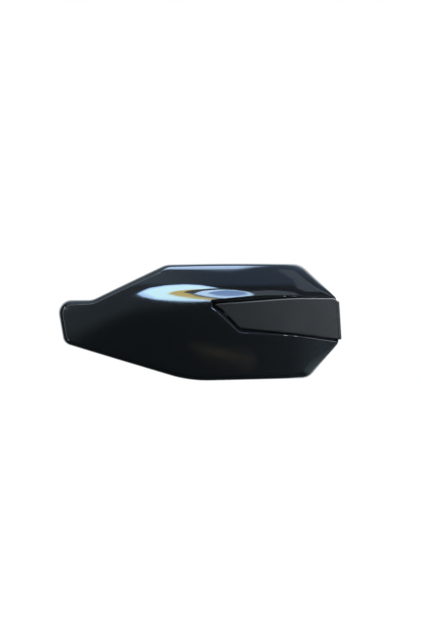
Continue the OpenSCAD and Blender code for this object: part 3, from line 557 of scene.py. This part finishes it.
finishes = {
    "shell_gloss": polished_abs(),
    "insert_satin": satin_nylon(),
    # Powder baked on to steel: an even satin skin with a slight orange peel, 1.4 mm from crest to crest
    "stay_coated": coat("powder_coated_steel", "#17181a", ior=1.5, roughness=0.42, scale=1.4, strength=0.3),
    # Steel out of a zinc bath: a cool bright metal, clouded by crystals drawn 1.2 mm wide so that they show
    "zinc_steel": metal("zinc_plated_steel", "#b9bcb8", roughness=0.28, scale=1.2, strength=0.1),
    # Brass off the lathe: a warm metal with fine tool marks, drawn 0.8 mm wide so that they show
    "insert_brass": metal("turned_brass", "#b8975a", roughness=0.26, scale=0.8, strength=0.1),
    # Rubber out of a steel mould: dull black with a dry skin, its 0.1 mm grain drawn 0.5 mm wide
    "grommet_rubber": coat("moulded_rubber", "#131313", ior=1.52, roughness=0.75, scale=0.5, strength=0.4),
    # Aluminium blasted and then anodised: a dark metal whose 0.35 mm pits break up every highlight
    "clamp_alloy": metal("anodised_aluminium", "#3a3b3d", roughness=0.42, scale=0.35, strength=0.3),
}
for part in frame["record"]["subparts"]:
    node = frame["nodes"][part["node"]]
    node.data.materials.clear()
    node.data.materials.append(finishes[part["material_slot"]])


def make(name, points, faces):
    """A mesh object in metres from points measured from the shell's datum in millimetres."""
    mesh = bpy.data.meshes.new(name)
    places = ((points + datum) * MM).tolist()
    mesh.from_pydata(places, [], faces if isinstance(faces, list) else faces.tolist())
    mesh.validate()
    made = bpy.data.objects.new(name, mesh)
    bpy.context.scene.collection.objects.link(made)
    return made


def outward(made):
    """The same piece with all its faces turned outward."""
    shape = bmesh.new()
    shape.from_mesh(made.data)
    bmesh.ops.recalc_face_normals(shape, faces=shape.faces)
    shape.to_mesh(made.data)
    shape.free()
    return made


def lathe(x, z, foot, profile, sides=72):
    """A turned form along Y: its foot follows a surface and its profile is (radius, depth) from there on."""
    a = np.linspace(0, 2 * math.pi, sides, endpoint=False)
    rings = []
    r = profile[0][0]
    px, pz = x + r * np.cos(a), z + r * np.sin(a)
    rings.append(np.stack([px, foot(px, pz), pz], axis=1))
    for r, y in profile:
        rings.append(np.stack([x + r * np.cos(a), np.full(sides, y), z + r * np.sin(a)], axis=1))
    points = np.concatenate(rings + [[[x, float(foot(x, z)), z], [x, profile[-1][1], z]]])
    faces = []
    for k in range(len(rings) - 1):
        for i in range(sides):
            j = (i + 1) % sides
            faces.append([k * sides + i, k * sides + j, (k + 1) * sides + j, (k + 1) * sides + i])
    last = (len(rings) - 1) * sides
    for i in range(sides):
        j = (i + 1) % sides
        faces.append([j, i, len(points) - 2])
        faces.append([last + i, last + j, len(points) - 1])
    return outward(make("part", points, faces))


def level(depth):
    """A flat foot for a turned form."""
    return lambda x, z: 0 * x + depth


def boss_end(i):
    """Depth of a boss's end, on which the stay's collar stands."""
    return stay_depth[i] - lip_t - collar_flange_t


# Gussets: thickness, reach past the boss, foot above the wall, drop below the boss's end and least height
gusset_t, gusset_reach, gusset_foot, gusset_drop, gusset_least = 2.0, 8.0, 1.0, 1.5, 0.3


def gusset(i, angle):
    """One gusset of a boss: a thin rib from the wall up to below the boss's end."""
    x0 = fixing_in[i] - neck_reach
    root = float(face_y(x0, stay_z))
    rho = np.linspace(0, boss_r + gusset_reach, 13)
    c, s = math.cos(angle), math.sin(angle)
    head, foot = boss_end(i) - gusset_drop, root + (wall + gusset_foot)
    line = np.where(rho < boss_r, head, mix(head, foot, (rho - boss_r) / gusset_reach))
    points, n = [], len(rho)
    for side in (-gusset_t / 2, gusset_t / 2):
        for top in (0, 1):
            px, pz = x0 + rho * c - side * s, stay_z + rho * s + side * c
            low = face_y(px, pz) + wall / 2
            points.append(np.stack([px, np.maximum(line, low + gusset_least) if top else low, pz], axis=1))
    faces = []
    for k in range(n - 1):
        for a, b in ((0, 1), (1, 3), (3, 2), (2, 0)):
            faces.append([a * n + k, b * n + k, b * n + k + 1, a * n + k + 1])
    faces += [[0, n, 3 * n, 2 * n], [n - 1, 2 * n - 1, 4 * n - 1, 3 * n - 1]]
    return outward(make("part", np.concatenate(points), faces))


def joined(base, parts, operation):
    """base after its union with, or less, the parts, as one mesh."""
    for part in parts:
        step = base.modifiers.new("join", "BOOLEAN")
        step.solver = "MANIFOLD"
        step.operation = operation
        step.object = part
    bpy.context.view_layer.update()
    done = bpy.data.meshes.new_from_object(base.evaluated_get(bpy.context.evaluated_depsgraph_get()))
    base.modifiers.clear()
    base.data = done
    for part in parts:
        bpy.data.objects.remove(part)
    return base


def dressed(made, node, slot, angle=32):
    """Shades a piece smooth up to an angle, gives it its finish and lets it stand for its CAD node."""
    made.name = made.data.name = node + "_detailed"
    made.data.materials.clear()
    made.data.materials.append(finishes[slot])
    made.data.shade_smooth()
    made.data.set_sharp_from_angle(angle=math.radians(angle))
    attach(made, "root")
    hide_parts(node)
    return made


def inner_y(x, z):
    """Depth of the shell's inner face behind the insert."""
    return face_y(x, z) + sink(x) + insert_t + insert_gap + wall


# Roundings of the bosses, the pads and the pegs
boss_round, boss_round_mid, pad_round, peg_round, peg_round_in = 0.4, 0.12, 0.3, 0.2, 0.2
# Room past the threaded inserts, past the pegs and round their screws, and the skin left in front of a bore
nut_clear, peg_clear, screw_clear, skin_left = 0.5, 0.3, 0.05, 1.1
# Radii at which turned forms close on their axes, the depth at which holes start and their reach past a pad
axis_r, bore_axis_r, hole_front, hole_past = 0.05, 0.02, -5, 1

peg_first, peg_last = tip_x + peg_from_tip, insert_reach - peg_from_end
pegs = [(x, float(mix(on_line(x, lower_line), on_line(x, upper_line), 0.5)))
        for x in (peg_first, (peg_first + peg_last) / 2, peg_last)]
pad_y = [float(inner_y(x, z)) + pad_rise for x, z in pegs]

shell = make("shell", *outer_skin())
bosses = []
for i in range(3):
    end = boss_end(i)
    nut_floor = end - nut_l - nut_clear
    bosses.append(lathe(fixing_in[i] - neck_reach, stay_z, lambda x, z: face_y(x, z) + wall / 2, [
        (boss_r, end - boss_round), (boss_r - boss_round_mid, end - boss_round_mid),
        (boss_r - boss_round, end), (nut_r, end), (nut_r, nut_floor), (axis_r, nut_floor)]))
    bosses += [gusset(i, math.radians(a)) for a in (45, 135, 225, 315)]
for (x, z), depth in zip(pegs, pad_y):
    bosses.append(lathe(x, z, lambda x, z: inner_y(x, z) - wall / 2, [
        (pad_r, depth - pad_round), (pad_r - pad_round, depth), (axis_r, depth)]))
joined(shell, bosses, "UNION")
hole_r = peg_r + insert_gap
holes = [lathe(x, z, level(hole_front), [(hole_r, depth + hole_past), (axis_r, depth + hole_past)])
         for (x, z), depth in zip(pegs, pad_y)]
joined(shell, holes, "DIFFERENCE")
dressed(shell, "outer_shell", "shell_gloss")

# Steps of the insert: round its tip and edges, round the bend at its end, down its leg and up its middle
edge_steps, bend_steps, leg_steps, middle_steps = 8, 10, 5, 40
insert_turn_x = insert_reach - insert_end_r
# Gaps of its columns: usual, close and least, and where they stand close
insert_column, insert_close, insert_least, near_elbow, close_from_x = 0.9, 0.45, 0.2, 6, 118
# The outline stops this far short of the insert's end, and a border takes at most this share of its height
corner_stop, border_share = 0.4, 0.3
edge_turn = np.sin(np.linspace(math.pi / 2, 0, edge_steps + 1))


def insert_columns():
    """Columns from the tip round the end's bend and down the leg: place along the bar, depth past the face,
    the outward direction's two parts, and how far the column is rounded over at the tip."""
    flat = []
    x = tip_x + insert_border
    while x < insert_turn_x - insert_least:
        flat.append(x)
        x += insert_close if abs(x - elbow_x) < near_elbow or x > close_from_x else insert_column
    flat.append(insert_turn_x)
    bend = np.linspace(0, math.pi / 2, bend_steps + 1)[1:]
    level_count = edge_steps + len(flat)
    out = np.concatenate([(tip_x + insert_border * (1 - edge_turn))[:-1], flat,
                          insert_turn_x + insert_end_r * np.sin(bend), np.full(leg_steps, insert_reach)])
    past = np.concatenate([np.zeros(level_count), insert_end_r * (1 - np.cos(bend)),
                           np.linspace(insert_end_r, insert_leg, leg_steps + 1)[1:]])
    nx = np.concatenate([np.zeros(level_count), np.sin(bend), np.ones(leg_steps)])
    ny = np.concatenate([-np.ones(level_count), -np.cos(bend), np.zeros(leg_steps)])
    over = np.concatenate([edge_turn[:-1], np.zeros(len(out) - edge_steps)])
    return [v[:, None] for v in (out, past, nx, ny, over)]


def insert_rows():
    """Rows up the insert: 0, 1 or 2 for lower border, middle and upper border, and the shares of each."""
    zone = np.repeat([0, 1, 2], [edge_steps + 1, middle_steps, edge_steps + 1])
    in_border = np.concatenate([1 - edge_turn, np.ones(middle_steps), (1 - edge_turn)[::-1]])
    in_middle = np.concatenate([np.zeros(edge_steps + 1), np.linspace(0, 1, middle_steps + 2)[1:-1],
                                np.ones(edge_steps + 1)])
    return zone, in_border, in_middle


def insert_grid():
    """The insert's two skins and its edge as one closed mesh."""
    out, past, nx, ny, over = insert_columns()
    zone, in_border, in_middle = insert_rows()
    x = np.minimum(out, insert_reach - insert_lean / 2 - corner_stop)
    low, high = on_line(x, lower_line), on_line(x, upper_line)
    border = np.minimum(insert_border, border_share * (high - low))
    z = np.where(zone == 0, low + border * in_border, np.where(
        zone == 2, high - border * in_border, mix(low + border, high - border, in_middle)))
    rim = np.where(zone == 1, 0, 1 - in_border)
    rolled = np.minimum(1, np.maximum(rim, over))
    front_drop = insert_border_t * (1 - np.sqrt(1 - rolled ** 2))
    turn = np.where(out > elbow_x, smooth((out - lower_bend_x) / (insert_turn_x - lower_bend_x)), 0)
    shift = insert_lean * (0.5 - (z + insert_bottom) / (insert_top + insert_bottom)) * turn
    base = np.minimum(out, insert_turn_x) + shift

    def layer(drop):
        """One skin, dropped inward by a distance at each place."""
        y = face_y(base, z) + sink(base) + past - ny * drop
        return np.stack([out + shift - nx * drop, y, z], axis=2)

    front, back = layer(front_drop), layer(np.full_like(front_drop, insert_t))
    ni, nj = z.shape[0] - 1, z.shape[1] - 1
    points = np.concatenate([front.reshape(-1, 3), back.reshape(-1, 3)])
    far = z.size
    loop = border_of(ni, nj)
    quads = [grid_quads(ni, nj), far + np.roll(grid_quads(ni, nj)[:, ::-1], 1, axis=1),
             np.stack([loop, far + loop, far + np.roll(loop, -1), np.roll(loop, -1)], axis=1)]
    return points, np.concatenate(quads)


insert = make("insert", *insert_grid())
posts, bores = [], []
for (x, z), depth in zip(pegs, pad_y):
    root = float(face_y(x, z) + sink(x)) + insert_t / 2
    end = depth - peg_clear
    posts.append(lathe(x, z, lambda x, z: face_y(x, z) + sink(x) + insert_t / 2, [
        (peg_r, depth - (peg_clear + peg_round)), (peg_r - peg_round_in, end), (axis_r, end)], sides=48))
    bores.append(lathe(x, z, level(root + skin_left - insert_t / 2), [
        (peg_screw_r + screw_clear, depth), (bore_axis_r, depth)], sides=36))
joined(insert, posts, "UNION")
joined(insert, bores, "DIFFERENCE")
dressed(insert, "matte_insert", "insert_satin", angle=40)

# Camera: the photo's size in pixels, the width in metres that it shows, and the place in its middle
photo_width, photo_height = 421, 631
view_width = 0.4029
target = Vector((0.11165, -0.09798, 0.00893))
distance, sensor = 3.0, 36
camera = bpy.data.objects.new("camera", bpy.data.cameras.new("camera"))
bpy.context.scene.collection.objects.link(camera)
camera.data.sensor_width = sensor
camera.data.lens = sensor * distance / (view_width * photo_height / photo_width)
camera.data.clip_end = 30
camera.location = target + Vector((0, -distance, 0))
camera.rotation_euler = (math.radians(90), 0, 0)
bpy.context.scene.camera = camera
bpy.context.scene.view_settings.view_transform = "Standard"

# Floor: a white sheet lit until it burns out, so that it runs into the background without an edge
floor_half, floor_z = 8, -0.25
floor_mesh = bpy.data.meshes.new("floor")
floor_corners = [(x * floor_half, y * floor_half, floor_z) for x, y in ((-1, -1), (1, -1), (1, 1), (-1, 1))]
floor_mesh.from_pydata(floor_corners, [], [(0, 1, 2, 3)])
floor = bpy.data.objects.new("floor", floor_mesh)
bpy.context.scene.collection.objects.link(floor)
floor.visible_glossy = floor.visible_diffuse = False
white, _, _, shader = start("pale_floor")
shader.inputs["Base Color"].default_value = linear("#f4f4f4")
shader.inputs["Roughness"].default_value = 0.9
shader.inputs["Emission Color"].default_value = (1, 1, 1, 1)
shader.inputs["Emission Strength"].default_value = 1.0
floor_mesh.materials.append(white)

# World: white behind the guard, a dim fill for what scatters light, and a room for the gloss to mirror
world = bpy.data.worlds.new("studio")
bpy.context.scene.world = world
world.use_nodes = True
tree = world.node_tree
tree.nodes.clear()
ray = add(tree, "ShaderNodeLightPath")
way = add(tree, "ShaderNodeSeparateXYZ", Vector=add(tree, "ShaderNodeTexCoord").outputs["Generated"])


def towards(axis, begin, full):
    """How far a direction leans along one axis, softly from begin to full."""
    settings = {"interpolation_type": "SMOOTHSTEP", "From Min": begin, "From Max": full}
    return add(tree, "ShaderNodeMapRange", settings, Value=way.outputs[axis]).outputs[0]


def both_of(a, b):
    """The product of two amounts."""
    made = add(tree, "ShaderNodeMath", {"operation": "MULTIPLY"})
    tree.links.new(a, made.inputs[0])
    tree.links.new(b, made.inputs[1])
    return made.outputs[0]


# Parts of the dark room that the gloss mirrors, each with its leans as (axis, begin, full) and its light
room_base = (0.055, 0.075, 0.08)
room_parts = [
    # Grey wall at the neck's side
    ([("X", -0.1, -0.7), ("Z", -0.28, -0.12), ("Y", 0.3, 0.0)], (0.2, 0.26, 0.3)),
    # Blue ceiling, warmer above the neck
    ([("Z", 0.5, 0.72), ("X", 0.75, 0.4)], (0.2, 0.33, 0.56)),
    ([("Z", 0.5, 0.8), ("X", 0.1, -0.6)], (0.25, 0.26, 0.16)),
    # Softbox in the ceiling
    ([("Z", 0.91, 0.955), ("X", 0.15, 0.04)], (6.5, 8.6, 12)),
    # Pale corner low on the right
    ([("X", 0.45, 0.7), ("Z", -0.2, -0.5)], (0.3, 0.4, 0.44)),
    # Pale wall behind, with a dark doorway in it so that the outline stays dark
    ([("Y", 0.5, 0.8), ("Y", 0.98, 0.88)], (2.2, 2.3, 2.4)),
]
total = None
for leans, colour in room_parts:
    amount = towards(*leans[0])
    for lean in leans[1:]:
        amount = both_of(amount, towards(*lean))
    tint = add(tree, "ShaderNodeVectorMath", {"operation": "SCALE", 0: colour}, Scale=amount)
    if total is None:
        total = tint
    else:
        summed = add(tree, "ShaderNodeVectorMath", {"operation": "ADD"})
        tree.links.new(total.outputs[0], summed.inputs[0])
        tree.links.new(tint.outputs[0], summed.inputs[1])
        total = summed
base = add(tree, "ShaderNodeVectorMath", {"operation": "ADD", 1: room_base})
tree.links.new(total.outputs[0], base.inputs[0])
room = add(tree, "ShaderNodeBackground", {"Strength": 1.0}, Color=base.outputs[0])
fill = add(tree, "ShaderNodeBackground", {"Color": (0.95, 0.98, 1, 1), "Strength": 0.2})
seen = add(tree, "ShaderNodeBackground", {"Color": (1, 1, 1, 1), "Strength": 1.0})
mirror_or_fill = add(tree, "ShaderNodeMixShader", Fac=ray.outputs["Is Glossy Ray"])
tree.links.new(fill.outputs[0], mirror_or_fill.inputs[1])
tree.links.new(room.outputs[0], mirror_or_fill.inputs[2])
either = add(tree, "ShaderNodeMixShader", Fac=ray.outputs["Is Camera Ray"])
tree.links.new(mirror_or_fill.outputs[0], either.inputs[1])
tree.links.new(seen.outputs[0], either.inputs[2])
tree.links.new(either.outputs[0], add(tree, "ShaderNodeOutputWorld").inputs[0])


def direction(azimuth, elevation):
    """A direction from the guard: azimuth from -Y towards +X, and elevation, both in degrees."""
    a, e = math.radians(azimuth), math.radians(elevation)
    return Vector((math.sin(a) * math.cos(e), -math.cos(a) * math.cos(e), math.sin(e)))


def panel(name, corners, light):
    """A lit panel with given corners that only the gloss mirrors."""
    mesh = bpy.data.meshes.new(name)
    mesh.from_pydata(corners, [], [list(range(len(corners)))])
    made = bpy.data.objects.new(name, mesh)
    bpy.context.scene.collection.objects.link(made)
    material = bpy.data.materials.new(name)
    material.use_nodes = True
    nodes = material.node_tree
    nodes.nodes.clear()
    strength = max(light)
    colour = (*(c / strength for c in light), 1)
    lit = add(nodes, "ShaderNodeEmission", {"Color": colour, "Strength": strength})
    nodes.links.new(lit.outputs[0], add(nodes, "ShaderNodeOutputMaterial").inputs[0])
    mesh.materials.append(material)
    made.visible_camera = made.visible_diffuse = made.visible_shadow = False


# Distance of the room's panels in metres, and of the small lights beside the lip in millimetres
room_away, lip_light_away = 20.0, 14


def glow(name, corners, facing, nearer, light):
    """A distant panel. Its corners are directions from the guard, carried on to a plane that faces the guard
    from one direction and stands nearer than the room's wall by a distance in metres."""
    square, away = direction(*facing), room_away - nearer
    panel(name, [target + direction(*c) * (away / direction(*c).dot(square)) for c in corners], light)


def beside_lip(x, azimuth, elevation):
    """A place close to the pocket's lower lip, in a direction that the lip's rounding mirrors."""
    z = float(on_line(x, lip_lower))
    on_lip = Vector((np.array([x, float(face_y(x, z)), z]) + datum) * MM)
    return on_lip + direction(azimuth, elevation) * lip_light_away * MM


def lamp(name, azimuth, elevation, away, width, height, power):
    """A soft area lamp that lights the satin and the hardware but isn't mirrored."""
    data = bpy.data.lights.new(name, "AREA")
    data.shape, data.size, data.size_y, data.energy = "RECTANGLE", width, height, power
    made = bpy.data.objects.new(name, data)
    bpy.context.scene.collection.objects.link(made)
    made.location = target + direction(azimuth, elevation) * away
    made.rotation_euler = (-direction(azimuth, elevation)).to_track_quat("-Z", "Y").to_euler()
    made.visible_glossy = False


# The window, with its warm reveal, its dark frame and the pane in it, each a little nearer than the last
opposite = (-14, 12)
glow("window", [
    (-39.6, 0), (-38.5, 11), (-35, 26), (-30, 36), (-21, 41), (-12.6, 38.5), (-7.3, 32), (-2.4, 23),
    (-0.4, 12), (-1.5, 0), (-5.8, -7.4), (-11, -7.4), (-18, -7.4), (-24.6, -6.7), (-32, -5.3), (-36.9, -3),
], opposite, 0, (9.2, 13.8, 20.5))
glow("window_middle", [
    (-37.2, 1), (-36.5, 10), (-33.5, 22), (-28.5, 32), (-21, 37.5), (-13.6, 35.5), (-8.8, 29), (-5, 20),
    (-3, 8), (-5, -2), (-8, -6.4), (-18, -6.5), (-24.6, -5.8), (-31, -4.4),
], opposite, 0.05, (12.5, 18.5, 20.5))
glow("window_reveal", [
    (-25.6, -0.7), (-21.5, 11), (-15, 18), (-8, 22), (-4, 8), (-3, -4), (-3.6, -6.9), (-7, -6.5),
    (-11, -5.6), (-14.7, -5), (-21, -3),
], opposite, 0.1, (9.6, 7.8, 2.8))
glow("window_frame", [
    (-18.5, 2), (-17, 11), (-13, 17), (-8, 23), (-4, 24.5), (1.5, 20.5), (7, 14), (11.5, 6), (14, -2),
    (9.5, -5), (4, -5.4), (-0.2, -6.2), (-4.7, -5.4), (-9, -4.2), (-13.4, -2.6),
], opposite, 0.2, (0.7, 0.85, 1.0))
glow("window_pane", [
    (-13.6, -1), (-9, 11.5), (-2.4, 17.4), (4.3, 14.5), (9, 5.6), (12.5, -2), (9, -3.8), (4.2, -4.2),
    (-0.2, -5.1), (-4.5, -4.2), (-8.9, -2.9),
], opposite, 0.3, (10, 14, 19))
glow("window_sky", [
    (-8, 0), (-4.5, 9), (0, 14), (5, 11), (8.6, 4), (10, -1.5), (6, -2.6), (1, -3), (-4, -2.4),
], opposite, 0.4, (3.2, 5.2, 9.6))
glow("pale_wall", [(13, -7), (12, 8), (20, 14), (27, 8), (36, -7)], (20, 0), 0, (0.9, 1.1, 1.3))
# Narrow roof light for the line along the shoulder
glow("roof_light_end", [
    (-50, 61.5), (-64, 64.5), (-82, 43), (-92, 30), (-84, 28.5), (-74, 40),
], (-70, 50), 0.1, (3.2, 3.6, 4.2))
# Side lights for the line and the two small glints on the neck's end
glow("side_light", [(-84, -18), (-90, -18), (-91, 22), (-85, 24)], (-88, 0), 0, (2.2, 2.4, 2.6))
glow("glint_high", [(-89.8, 25), (-94, 25), (-94, 29), (-90.8, 29)], (-92, 28), 0, (30, 32, 34))
glow("glint_low", [(-82, -18), (-92, -18), (-92, -22), (-82, -22)], (-88, -20), 0, (8, 8.5, 9))
# Pale wall on the right for the two outboard slopes
glow("right_wall", [
    (40, 64), (41, 52), (37, 42), (33.5, 24), (36, 6), (60, 0), (82, 8), (84, 46), (66, 64),
], (58, 34), 0, (0.75, 0.92, 1.15))

# Small lights beside the guard for two glints and a line on the pocket's lower lip
glint_1_x, glint_2_x, line_from_x, line_to_x = 82.3, 92.4, 101, 133
panel("lip_glint", [
    beside_lip(glint_1_x, *d) for d in ((27, 46), (47, 71), (75, 60), (45, 37))
], (24, 26, 28))
panel("lip_glint_small", [
    beside_lip(glint_2_x, *d) for d in ((36, 45), (57, 67), (76, 57), (51, 36))
], (24, 26, 28))
panel("lip_line", [
    beside_lip(line_from_x, 47, 35), beside_lip(line_from_x, 66, 55),
    beside_lip(line_to_x, 64, 38), beside_lip(line_to_x, 53, 12),
], (5, 5.4, 5.7))
# Faint ground that the face's lower half mirrors
glow("ground_far", [
    (-19, -24.1), (-11.6, -24.8), (0, -25.5), (11.8, -25.9), (15.6, -26.1), (11.8, -26.6), (1.5, -26.4),
    (-9.3, -25.7),
], (0, -25), 0, (0.42, 0.37, 0.28))

# Azimuth, elevation, distance, width, height and power of each lamp
lamp("right_softbox", 84, 12, 1.8, 1.4, 1.4, 215)
lamp("top_softbox", -25, 72, 1.6, 2.0, 1.0, 15)
lamp("left_softbox", -62, 45, 1.8, 1.4, 1.4, 60)
lamp("rear_softbox", 200, 25, 1.6, 1.6, 1.6, 40)
